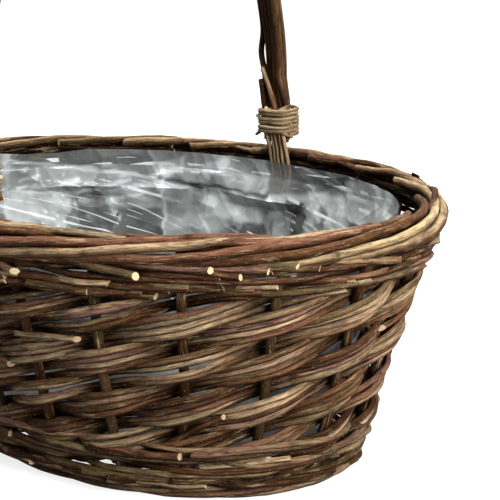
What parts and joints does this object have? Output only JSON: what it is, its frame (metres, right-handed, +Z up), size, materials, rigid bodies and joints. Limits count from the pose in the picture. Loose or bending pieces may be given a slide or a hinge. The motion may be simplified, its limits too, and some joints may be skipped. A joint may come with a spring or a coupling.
{
  "type": "oval willow basket with handle",
  "caption": "Oval open basket of unpeeled woven rods with a rolled border, a tall lashed hoop handle and a clear film liner",
  "frame": {"origin": "on the ground under the middle of the basket, at the centre of the foot ring's underside", "axes": "+Z up; X along the oval's length; Y across it, towards the handle's back foot"},
  "size_m": [0.3884, 0.3, 0.3914],
  "materials": {
    "stake_bark": "unpeeled willow rod, olive to red brown, satin",
    "weaver_bark": "unpeeled willow weavers, mixed dark and red brown, satin",
    "wale_bark": "unpeeled willow weavers, dark brown, satin",
    "base_stick_wood": "unpeeled willow sticks, olive brown, matt",
    "base_weave_bark": "unpeeled willow weavers, dark brown, matt",
    "hoop_bark": "unpeeled willow rods, dark brown, satin",
    "foot_rod_bark": "thin unpeeled willow rods, light brown, satin",
    "lashing_rod": "thin pale willow rod, satin",
    "clear_film": "crumpled milky clear film, glossy"
  },
  "bodies": {
    "root": {"stake_01": "stake_bark", "stake_02": "stake_bark", "stake_03": "stake_bark", "stake_04": "stake_bark", "stake_05": "stake_bark", "stake_06": "stake_bark", "stake_07": "stake_bark", "stake_08": "stake_bark", "stake_09": "stake_bark", "stake_10": "stake_bark", "stake_11": "stake_bark", "stake_12": "stake_bark", "stake_13": "stake_bark", "stake_14": "stake_bark", "stake_15": "stake_bark", "stake_16": "stake_bark", "stake_17": "stake_bark", "stake_18": "stake_bark", "stake_19": "stake_bark", "stake_20": "stake_bark", "weaver_band_01": "weaver_bark", "weaver_band_02": "weaver_bark", "weaver_band_03": "weaver_bark", "weaver_band_04": "weaver_bark", "weaver_band_05": "weaver_bark", "weaver_band_06": "weaver_bark", "weaver_band_07": "weaver_bark", "weaver_band_08": "weaver_bark", "weaver_band_09": "weaver_bark", "weaver_band_10": "weaver_bark", "weaver_band_11": "weaver_bark", "weaver_band_12": "weaver_bark", "weaver_band_13": "weaver_bark", "weaver_band_14": "weaver_bark", "weaver_band_15": "weaver_bark", "weaver_band_16": "weaver_bark", "weaver_band_17": "weaver_bark", "weaver_band_18": "weaver_bark", "weaver_band_19": "weaver_bark", "weaver_band_20": "weaver_bark", "upper_wale": "wale_bark", "lower_wale": "wale_bark", "foot_ring": "wale_bark", "cross_stick_1": "base_stick_wood", "cross_stick_2": "base_stick_wood", "cross_stick_3": "base_stick_wood", "long_stick": "base_stick_wood", "base_ring_1": "base_weave_bark", "base_ring_2": "base_weave_bark", "base_edge_ring": "base_weave_bark", "hoop_rod_1": "hoop_bark", "hoop_rod_2": "hoop_bark", "hoop_rod_3": "hoop_bark", "hoop_rod_4": "hoop_bark", "hoop_rod_5": "hoop_bark", "handle_foot_back": "foot_rod_bark", "handle_foot_front": "foot_rod_bark", "lashing_back": "lashing_rod", "lashing_front": "lashing_rod", "liner": "clear_film"}
  },
  "joints": []
}
